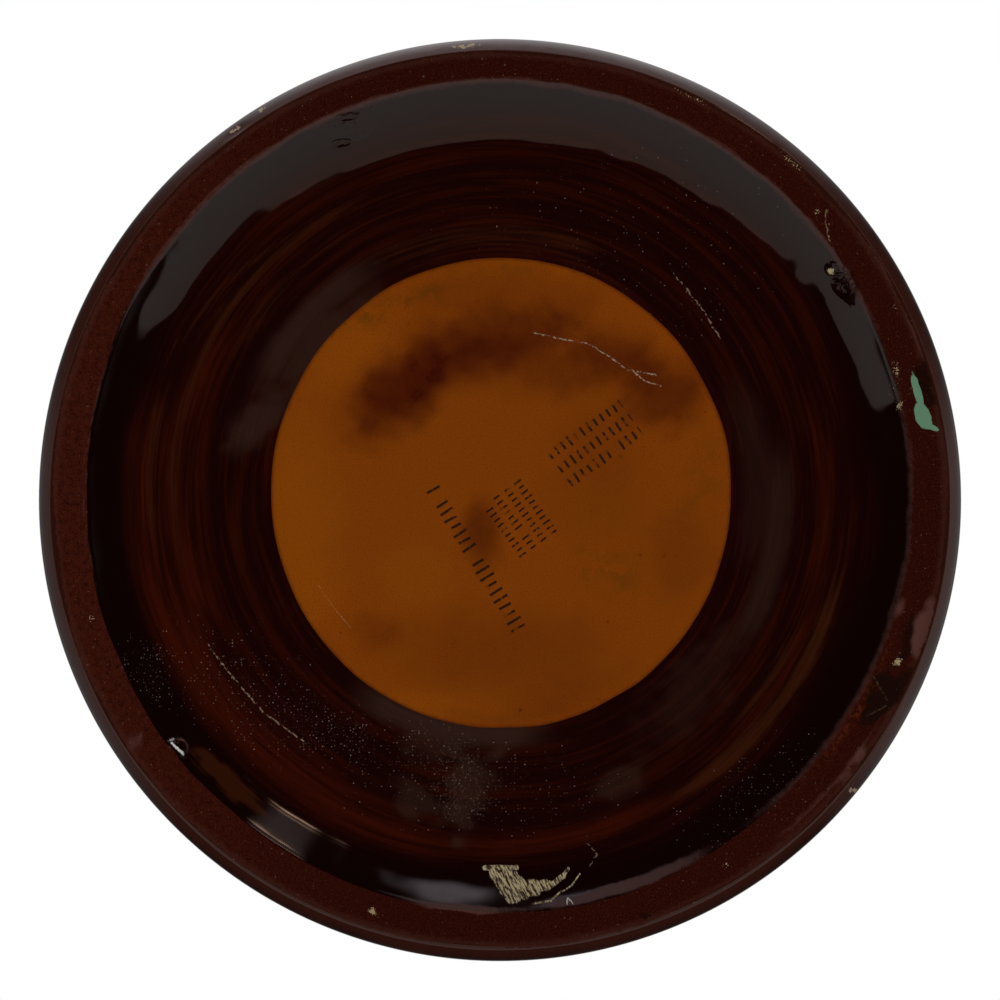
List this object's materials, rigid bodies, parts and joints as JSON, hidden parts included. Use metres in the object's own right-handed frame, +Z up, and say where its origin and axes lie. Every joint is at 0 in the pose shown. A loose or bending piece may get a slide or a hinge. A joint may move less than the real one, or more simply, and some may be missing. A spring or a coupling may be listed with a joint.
{
  "type": "stoneware flask",
  "caption": "Hollow brown-glazed stoneware spirit flask with a turned foot, a narrow neck, a rolled lip and a strap handle; open mouth, no stopper.",
  "frame": {"origin": "centre of the foot at the height the flask stands on", "axes": "+Z up along the turning axis, from the foot to the mouth; +X towards the strap handle"},
  "size_m": [0.0952, 0.0952, 0.2],
  "materials": {
    "flask": "glossy treacle-brown glaze, matt red-brown on the standing ring, amber on the disc under the foot"
  },
  "bodies": {
    "root": {"flask": "flask"}
  },
  "joints": []
}
